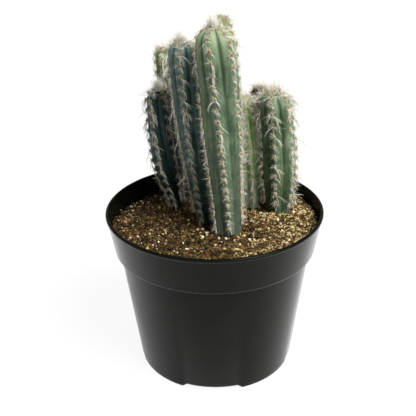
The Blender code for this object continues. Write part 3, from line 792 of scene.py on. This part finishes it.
def waxy_skin(name, skin):
    """Cactus skin: a tough waxy cuticle, satin, with a powdery bloom that has worn off in streaks. The
    groove and rise attributes say how deep in a groove and how far up the stem a point is. The grooves are
    painted dark as painted shade, the foot is darker as older skin and, on the stems that stand back,
    painted shade, and the top is lighter as new growth and painted light."""
    made, tree, shader = material(name, {"IOR": 1.45, "Specular IOR Level": 0.2, "Sheen Weight": 0.03,
                                         "Sheen Roughness": 0.6})
    spot = add(tree, "TexCoord").outputs["Object"]
    tall = add(tree, "Mapping", {"Scale": (1.0, 1.0, 0.1)}, {"Vector": spot})
    groove = add(tree, "Attribute", {"attribute_name": "groove"}).outputs["Fac"]
    rise = add(tree, "Attribute", {"attribute_name": "rise"}).outputs["Fac"]
    streak = add(tree, "TexNoise", {"Scale": 1 / (2.6 * MM), "Detail": 6.0, "Roughness": 0.62},
                 {"Vector": tall})
    cloud = add(tree, "TexNoise", {"Scale": 1 / (13 * MM), "Detail": 3.0}, {"Vector": spot})
    fine = add(tree, "TexNoise", {"Scale": 1 / (0.8 * MM), "Detail": 3.0}, {"Vector": spot})
    worn = add(tree, "Math", {"operation": "MULTIPLY"}, {0: streak, 1: cloud})
    bloomed = add(tree, "MapRange", {"From Min": 0.17, "From Max": 0.35, "To Max": skin.frost + 0.3},
                  {"Value": worn})
    crest = add(tree, "MapRange", {"From Max": 0.3, "To Min": 0.5, "To Max": 0.0}, {"Value": groove})
    grain = add(tree, "ValToRGB", {}, {"Fac": fine}, ((0.35, "A8ACA4"), (0.65, "FFFFFF")))
    # the foot darker towards the low colour: older skin, and painted shade on the stems that stand back
    # among the others
    foot_age_and_shade = add(tree, "MapRange", {"From Min": 0.05, "From Max": 0.5, "To Min": 0.75, "To Max": 0.0},
               {"Value": rise})
    # the top lighter towards the top colour: new growth, and painted light where the dome faces up
    new_growth_and_top_light = add(tree, "MapRange", {"From Min": 0.82, "From Max": 1.0, "To Max": 0.8}, {"Value": rise})
    # painted shade: the skin darkens towards the groove colour deep in each groove
    deep = add(tree, "MapRange", {"From Min": 0.62, "To Max": 0.7, "interpolation_type": "SMOOTHSTEP"},
               {"Value": groove})
    body = add(tree, "MixRGB", {"Color1": colour(skin.flank), "Color2": colour(skin.bloom)},
               {"Fac": bloomed})
    ridge = add(tree, "MixRGB", {"Color2": colour(skin.bloom)}, {"Fac": crest, "Color1": body})
    tint = add(tree, "MixRGB", {"blend_type": "MULTIPLY", "Fac": 0.5}, {"Color1": ridge, "Color2": grain})
    for share, code in ((foot_age_and_shade, skin.low), (new_growth_and_top_light, skin.top), (deep, skin.groove)):
        tint = add(tree, "MixRGB", {"Color2": colour(code)}, {"Fac": share, "Color1": tint})
    gloss = add(tree, "MapRange", {"To Min": 0.42, "To Max": 0.68}, {"Value": bloomed})
    relief = add(tree, "Math", {"operation": "ADD"}, {0: streak, 1: fine})
    bump = add(tree, "Bump", {"Strength": 0.25, "Distance": 0.2 * MM}, {"Height": relief})
    # painted shade: the skin darkens where other stems crowd round
    feed(tree, shader, {"Base Color": shadowed(tree, tint, 0.92), "Roughness": gloss, "Normal": bump})
    return made


for stem in STEMS:
    skin_mesh = ribbed_skin(stem)
    skin_mesh.shade_smooth()
    wax = waxy_skin(stem.name + "_waxy_skin", stem.skin)
    place(stem.name + "_skin", skin_mesh, wax, stem.slot, stem.name)


# Areoles. Down every rib crest sit pads of cream felt, close together at the crown and further apart below
# it. Young pads have an orange-brown heart, where the first spines come from. They grew out of the skin.
LOWEST_AREOLE = 2.5 * MM
TRACK_STEP = 0.05
PAD_SIZE = 1.25 * MM
PAD_SPREAD = (0.8, 1.2)
PAD_SHAPES = 4
PAD_LENGTH = 1.25
PAD_HEIGHT = 0.62
PAD_ROUGHNESS = 0.22
PAD_LIFT = 0.2
NEW_PAD = 0.8
NEW_PAD_AGE = 8 * MM
HEART_SIZE = 0.62
HEART_RISE = 0.45
HEARTS_FADE = 30 * MM
FAINTEST_HEART = 0.3


def areoles_of(stem):
    """Every areole of a stem: its seat, the ways out and down, its age as a distance from the crown, and
    how closely other stems crowd round it."""
    down, heights, passed = track_of(stem)
    found = []
    for rib in range(stem.ribs):
        for i in range(int(passed[-1]) + 1):
            count = i + start_of(rib)
            above, here, below = (
                skin_point(stem, rib, float(np.interp(n, passed, heights)), n)[0]
                for n in (max(0.0, count - TRACK_STEP), count, count + TRACK_STEP)
            )
            if here.z < soil_height(here.x, here.y) + LOWEST_AREOLE:
                break
            along = (below - above).normalized()
            angle = rib_angle(stem, rib, here.z)
            side = Vector((cos(angle), sin(angle), 0))
            age = float(np.interp(count, passed, down))
            found.append((here, along.cross(side).normalized(), along, age, crowding(stem, here)))
    return found


def felt_pads():
    """A few oval pads with a rough surface, one unit in radius, flat to the skin."""
    shapes = []
    for seed in range(PAD_SHAPES):
        bm = bmesh.new()
        bmesh.ops.create_uvsphere(bm, u_segments=6, v_segments=4, radius=1.0)
        for vertex in bm.verts:
            rough = 1 + PAD_ROUGHNESS * noise.noise(vertex.co * 1.7 + Vector((seed, 0, 0)))
            vertex.co = Vector((vertex.co.x * PAD_LENGTH, vertex.co.y, vertex.co.z * PAD_HEIGHT)) * rough
        shapes.append(shape_of(bm, lambda corner: smooth((corner.z + 0.3) / 0.3)))
    return shapes


def areole_felt():
    """Matted plant hair: cream to tan with a soft nap, orange-brown where the tone attribute is high."""
    made, tree, shader = material("areole_felt", {"Roughness": 0.95, "Specular IOR Level": 0.1,
                                                 "Sheen Weight": 0.06, "Sheen Roughness": 0.5})
    spot = add(tree, "TexCoord").outputs["Object"]
    nap = add(tree, "TexNoise", {"Scale": 1 / (0.5 * MM), "Detail": 4.0}, {"Vector": spot})
    wool = add(tree, "ValToRGB", {}, {"Fac": nap}, ((0.3, "8A7B5A"), (0.5, "BDAF8B"), (0.7, "E2D8BC")))
    tone = add(tree, "Attribute", {"attribute_name": "tone"}).outputs["Fac"]
    heart = add(tree, "MixRGB", {"Color2": colour("935C34")}, {"Fac": tone, "Color1": wool})
    bump = add(tree, "Bump", {"Strength": 0.8, "Distance": 0.3 * MM}, {"Height": nap})
    # painted shade: the felt darkens where other stems crowd round
    feed(tree, shader, {"Base Color": shadowed(tree, heart, 0.6), "Normal": bump})
    return made


areoles = {stem.name: areoles_of(stem) for stem in STEMS}
pads = felt_pads()
felt = areole_felt()
for stem in STEMS:
    placings = []
    for seat, normal, down, age, shade in areoles[stem.name]:
        size = PAD_SIZE * rng.uniform(*PAD_SPREAD) * (NEW_PAD if age < NEW_PAD_AGE else 1.0)
        youth = smooth((stem.growth.hearts * MM - age) / HEARTS_FADE) * rng.uniform(0.75, 1.0)
        spot = seat + normal * PAD_LIFT * size
        placings.append((rng.randrange(len(pads)), standing(spot, normal, down, size), 0.0, shade))
        if youth > FAINTEST_HEART:
            spot += normal * HEART_RISE * size
            matrix = standing(spot, normal, down, HEART_SIZE * size)
            placings.append((rng.randrange(len(pads)), matrix, youth, shade))
    place(stem.name + "_areoles", copies(pads, placings), felt, "wool")


# Spines. Each areole has a star of thin stiff needles and one or two longer ones that stand out. They are
# dead hard tissue, ivory to grey, and red-brown while new at the crown. They grew out of the areoles.
SPINE_THICKNESS = 0.03
STAR = 9
STAR_LENGTHS = (2.8 * MM, 4.8 * MM)
STAR_JITTER = (-0.25, 0.25)
STAR_OUT = (0.35, 0.9)
MIDDLE_SPINES = (1, 2, 2)
MIDDLE_LENGTHS = (4.0 * MM, 6.5 * MM)
NEWEST_AGE = 26 * MM
SHORTEST_NEW_SPINE = 2.5
CROWN_REACH = 5.0 * MM
CROWN_DROP = 0.5 * MM
NEW_SPINE_TONES = (0.25, 0.85)
CLEAR_SHARE = 0.95


def needle():
    """A straight three-sided spine, one unit long."""
    bm = bmesh.new()
    bmesh.ops.create_cone(bm, cap_ends=True, segments=3, radius1=SPINE_THICKNESS, radius2=0, depth=1.0,
                          matrix=Matrix.Translation((0, 0, 0.5)))
    bmesh.ops.remove_doubles(bm, verts=bm.verts, dist=0.001)
    return shape_of(bm)


def horny_spine():
    """Spine: hard and slightly glossy, ivory to straw, red-brown where the tone attribute is high."""
    made, tree, shader = material("horny_spine", {"Roughness": 0.5, "Specular IOR Level": 0.3})
    spot = add(tree, "TexCoord").outputs["Object"]
    cloud = add(tree, "TexNoise", {"Scale": 1 / (6 * MM), "Detail": 2.0}, {"Vector": spot})
    tint = toned(tree, cloud, {1: 0.35, 2: -0.17},
                 ((0.0, "F2EEE2"), (0.35, "D8CCB0"), (0.65, "B08860"), (1.0, "7A4428")))
    # painted shade: the spines darken where other stems crowd round
    feed(tree, shader, {"Base Color": shadowed(tree, tint, 0.5)})
    return made


def inside_stem(spot, own):
    """Whether a point is inside another stem than its own."""
    return any((spot - axis_at(other, spot.z)).length < radius_at(other, spot.z) * CLEAR_SHARE
               for other in others_at(own, spot.z))


def scattered():
    """A random level direction, and a share of the way out that spreads points evenly over a disc."""
    angle = rng.uniform(0, tau)
    return Vector((cos(angle), sin(angle), 0)), sqrt(rng.random())


spines = [needle()]
horn = horny_spine()
for stem in STEMS:
    placings = []
    for seat, normal, down, age, shade in areoles[stem.name]:
        youth = smooth((NEWEST_AGE - age) / NEWEST_AGE)
        side = normal.cross(down)
        turn = rng.uniform(0, tau)
        for i in range(STAR):
            angle = turn + i * tau / STAR + rng.uniform(*STAR_JITTER)
            lean = side * cos(angle) + down * sin(angle)
            out = (normal * rng.uniform(*STAR_OUT) + lean).normalized()
            length = rng.uniform(*STAR_LENGTHS)
            root = seat + lean * 0.5 * PAD_SIZE
            if not inside_stem(seat + out * length, stem):
                placings.append((0, standing(root, out, normal, length),
                                 0.6 * youth * rng.random() + 0.15 * rng.random(), shade))
        for i in range(rng.choice(MIDDLE_SPINES)):
            lean = side * rng.uniform(-0.5, 0.5) + down * rng.uniform(-0.5, 0.6)
            out = (normal + lean).normalized()
            length = rng.uniform(*MIDDLE_LENGTHS)
            if not inside_stem(seat + out * length, stem):
                placings.append((0, standing(seat, out, down, length),
                                 0.1 + 0.7 * youth * rng.random(), shade))
    crown = axis_at(stem, stem.tip[2] * MM)
    for i in range(stem.growth.new_spines):
        away, reach = scattered()
        out = (UP + away * reach * rng.uniform(0.2, 1.0)).normalized()
        spot = crown + away * CROWN_REACH * reach - UP * CROWN_DROP * reach
        length = rng.uniform(SHORTEST_NEW_SPINE, stem.growth.new_length) * MM
        placings.append((0, standing(spot, out, away, length), rng.uniform(*NEW_SPINE_TONES)))
    place(stem.name + "_spines", copies(spines, placings, soft=False), horn, "wool")


# Hairs. This cactus grows long white hairs among its spines. A lock hangs from every areole and curls to
# the right, wisps lie across the ribs, and short bristly ones stand round each areole, thickest at the tips.
# Where stems crowd each other, most of them have rubbed off.
HAIR_SHAPES = 6
LOCK_THICKNESS = 0.02
LOCK_HAIRS = 9
LOCK_LENGTHS = (3.8 * MM, 7.5 * MM)
LOCK_GROWTH = ((0, 12 * MM, 60 * MM, 95 * MM), (0.6, 1.1, 1.1, 0.7))
LOCK_WIDTH = 0.35 * MM
LOCK_DROP = (0.4, 0.9)
LOCK_SWEEP = (0.5, 1.5)
LOCK_OUT = (0.2, 0.5)
WISP_THICKNESS = 0.009
WISP_HAIRS = (1, 2, 4, 6)
WISP_GROWTH = ((14 * MM, 32 * MM, 60 * MM, 110 * MM), (3.5, 1.0, 1.0, 0.4))
WISP_LENGTHS = (7.0 * MM, 13.0 * MM)
WISP_OUT = (0.3, 0.6)
WISPS = (0, 1, 1, 3)
WISPS_ACROSS = (-0.6, 1, 1, 1)
TOP_SIDEWAYS = 0.35
FUZZ_THICKNESS = 0.016
FUZZ_LENGTHS = (2.2 * MM, 6.5 * MM)
FUZZ_OUT = (0.3, 2.0)
PLUME_SHAPES = 4
PLUME_THICKNESS = 0.01
WOOLLY_TOP = 22 * MM
SUNNY_FUZZ = 1.0
RUBBED_OFF = 0.9
RIGHT = Vector((1, 0, 0))


def plant_hair():
    """Plant hair: white to cream, soft, with a little sheen."""
    made, tree, shader = material("plant_hair", {"Roughness": 0.7, "Specular IOR Level": 0.2,
                                                "Sheen Weight": 0.3, "Sheen Roughness": 0.4})
    tone = add(tree, "Attribute", {"attribute_name": "tone"}).outputs["Fac"]
    tint = add(tree, "ValToRGB", {}, {"Fac": tone},
               ((0.0, "FFFFFA"), (0.3, "FAF4E4"), (0.6, "E0D3B0"), (1.0, "AC9468")))
    # painted shade: the hairs darken where other stems crowd round
    feed(tree, shader, {"Base Color": shadowed(tree, tint, 0.65)})
    return made


hair_draw = random.Random(5)
locks = [strand(LOCK_THICKNESS, 3, 0.2 + 0.12 * i, hair_draw.uniform(-0.1, 0.1))
         for i in range(HAIR_SHAPES)]
wisps = [strand(WISP_THICKNESS, 5, 0.3 + 0.12 * i, hair_draw.uniform(-0.12, 0.12))
         for i in range(HAIR_SHAPES)]
fuzz = [strand(FUZZ_THICKNESS, 1 + i // 3, hair_draw.uniform(0.0, 0.5), 0.0) for i in range(HAIR_SHAPES)]
plumes = [strand(PLUME_THICKNESS, 3, hair_draw.uniform(0.0, 0.25), hair_draw.uniform(-0.03, 0.03))
          for i in range(PLUME_SHAPES)]
hairs = locks + wisps + fuzz + plumes
silk = plant_hair()


def leaning(length, spot, out, towards, spread):
    """The matrix of a hair that leans a little off the way out."""
    shift = Vector((rng.gauss(0, spread), rng.gauss(0, spread), rng.gauss(0, spread)))
    return standing(spot, (out + shift).normalized(), towards + shift, length)


for stem in STEMS:
    placings = []
    growth = stem.growth
    for seat, normal, down, age, shade in areoles[stem.name]:
        if rng.random() < RUBBED_OFF * shade:
            continue
        side = normal.cross(down)
        right = RIGHT - normal * RIGHT.dot(normal)
        root = seat + down * 0.9 * PAD_SIZE
        lean = down * rng.uniform(*LOCK_DROP) + right * rng.uniform(*LOCK_SWEEP)
        out = (normal * rng.uniform(*LOCK_OUT) + lean).normalized()
        length = rng.uniform(*LOCK_LENGTHS) * growth.locks * float(np.interp(age, *LOCK_GROWTH))
        tone = rng.uniform(0.0, 0.2)
        if not inside_stem(root + out * length * 0.7, stem):
            for i in range(LOCK_HAIRS):
                spot = root + side * rng.gauss(0, LOCK_WIDTH)
                matrix = leaning(length * rng.uniform(0.5, 1.0), spot, out, down, 0.1)
                placings.append((rng.randrange(len(locks)), matrix, tone + 0.15 * rng.random(), shade))
        tangled = rng.choice(WISPS) * growth.wisps * float(np.interp(age, *WISP_GROWTH))
        for _ in range(int(tangled + rng.random())):
            lean = down * rng.uniform(0.2, 1.0) + right * rng.uniform(-0.1, 1.0)
            if rng.random() < growth.sideways + (TOP_SIDEWAYS if age < WOOLLY_TOP else 0):
                lean = right * rng.choice(WISPS_ACROSS) + down * rng.uniform(-0.3, 0.4)
            out = (normal * rng.uniform(*WISP_OUT) + lean).normalized()
            length = rng.uniform(*WISP_LENGTHS)
            number = len(locks) + rng.randrange(len(wisps))
            if inside_stem(seat + out * length * 0.7, stem):
                continue
            for i in range(rng.choice(WISP_HAIRS)):
                matrix = leaning(length * rng.uniform(0.8, 1.05), root, out, down, 0.05)
                placings.append((number, matrix, rng.random() * 0.4, shade))
        count = growth.fuzz + (growth.top_fuzz if age < WOOLLY_TOP else 0)
        for i in range(int(count * (1 + SUNNY_FUZZ * max(0.0, normal.x)))):
            angle = rng.uniform(0, tau)
            lean = side * cos(angle) + down * sin(angle)
            out = (normal * rng.uniform(*FUZZ_OUT) + lean).normalized()
            spot = seat + lean * 0.8 * PAD_SIZE
            matrix = standing(spot, out, lean + down * 0.3, rng.uniform(*FUZZ_LENGTHS))
            number = len(locks + wisps) + rng.randrange(len(fuzz))
            placings.append((number, matrix, rng.uniform(0.0, 0.7), shade))
    crown = axis_at(stem, stem.tip[2] * MM)
    for i in range(growth.plume):
        away, reach = scattered()
        out = (UP + away * reach * rng.uniform(0.0, 0.5)).normalized()
        spot = crown + away * CROWN_REACH * reach - UP * CROWN_DROP
        length = rng.uniform(0.4, 1.0) * growth.plume_length * MM
        number = len(hairs) - 1 - rng.randrange(len(plumes))
        for _ in range(2):
            placings.append((number, leaning(length, spot, out, away, 0.05), rng.random() * 0.4))
    place(stem.name + "_hairs", copies(hairs, placings), silk, "wool")


# Wool. The growing tips of the tallest stem and of the two blue ones left of it are buried in white wool: a
# soft tuft on the crown, matted at its foot and loose at the top. It grew there.
WOOL_THICKNESS = 0.007
WOOL_HAIRS = 1300
WOOL_RADIUS = 2.3 * MM
WOOL_LEAN = Vector((-0.14, 0, 0))
WOOL_LENGTHS = (3.0 * MM, 16.0 * MM)
WOOL_SHAPES = 8
WOOL_TONE = 0.3
CORE_LIFT = 1.5 * MM
CORE_SIZE = (1.7 * MM, 1.7 * MM, 2.6 * MM, 1.0)


def wool_core():
    """The matted foot of a tuft, one unit in radius."""
    bm = bmesh.new()
    bmesh.ops.create_icosphere(bm, subdivisions=4, radius=1.0)
    for vertex in bm.verts:
        vertex.co *= 0.8 + 0.25 * noise.turbulence(vertex.co * 2.5, 3, False)
    return shape_of(bm, lambda corner: 0.0)


core = wool_core()
wool_hairs = [strand(WOOL_THICKNESS, 3, hair_draw.uniform(0.0, 0.8), hair_draw.uniform(-0.15, 0.15))
              for i in range(WOOL_SHAPES)]
for stem in STEMS:
    if not stem.tuft:
        continue
    crown = axis_at(stem, stem.tip[2] * MM)
    matrix = Matrix.Translation(crown + UP * CORE_LIFT) @ Matrix.Diagonal(CORE_SIZE)
    placings = [(WOOL_SHAPES, matrix, 0.0)]
    for i in range(WOOL_HAIRS):
        away, reach = scattered()
        out = (UP + WOOL_LEAN + away * rng.gauss(0.1, 0.18) * reach).normalized()
        spot = crown + away * WOOL_RADIUS * reach + UP * CORE_LIFT * (1 - reach)
        length = rng.triangular(*WOOL_LENGTHS, WOOL_LENGTHS[0]) * (1 - 0.5 * reach)
        number = rng.randrange(WOOL_SHAPES)
        placings.append((number, standing(spot, out, away, length), rng.random() * WOOL_TONE))
    place(stem.tuft + "_wool", copies(wool_hairs + [core], placings), silk, "wool", stem.tuft)


# Studio. A white floor that runs on behind the plant, a large soft light from the right and white walls
# all round, dimmer behind the camera.
FLOOR_REACH = 8.0
KEY_STRENGTH = 4.8
KEY_SPREAD = radians(38)
KEY_FROM = Vector((0.75, -0.62, 1.15))

bm = bmesh.new()
bmesh.ops.create_grid(bm, x_segments=2, y_segments=2, size=FLOOR_REACH)
floor = object_of("floor", mesh_of(bm))
paper, tree, shader = material("white_floor", {"Roughness": 0.9, "Specular IOR Level": 0.1,
                                              "Emission Strength": 0.92})
rays = add(tree, "LightPath")
soft = rays.outputs["Is Diffuse Ray"]
white = add(tree, "MixRGB", {"Color1": colour("F4F4F4"), "Color2": colour("84847F")}, {"Fac": soft})
glow = add(tree, "MixRGB", {"Color1": colour("FFFFFF"), "Color2": colour("000000")}, {"Fac": soft})
seen = add(tree, "MixRGB", {"Color2": colour("545454")},
           {"Fac": rays.outputs["Is Camera Ray"], "Color1": white})
feed(tree, shader, {"Base Color": seen, "Emission Color": glow})
floor.data.materials.append(paper)

key = bpy.data.lights.new("key", "SUN")
key.energy = KEY_STRENGTH
key.angle = KEY_SPREAD
key_light = object_of("key", key)
key_light.matrix_world = KEY_FROM.to_track_quat("Z", "Y").to_matrix().to_4x4()

walls = bpy.data.worlds.new("studio")
bpy.context.scene.world = walls
walls.use_nodes = True
sky = walls.node_tree
ahead = add(sky, "TexCoord").outputs["Generated"]
depth = add(sky, "SeparateXYZ", {}, {"Vector": ahead})
light = add(sky, "MapRange", {"From Min": -0.7, "From Max": 0.2, "To Min": 0.17, "To Max": 0.42},
            {"Value": depth.outputs["Y"]})
feed(sky, sky.nodes["Background"], {"Strength": light})
sky.nodes["Background"].inputs["Color"].default_value = (1, 1, 1, 1)

bpy.context.scene.view_settings.view_transform = "Standard"
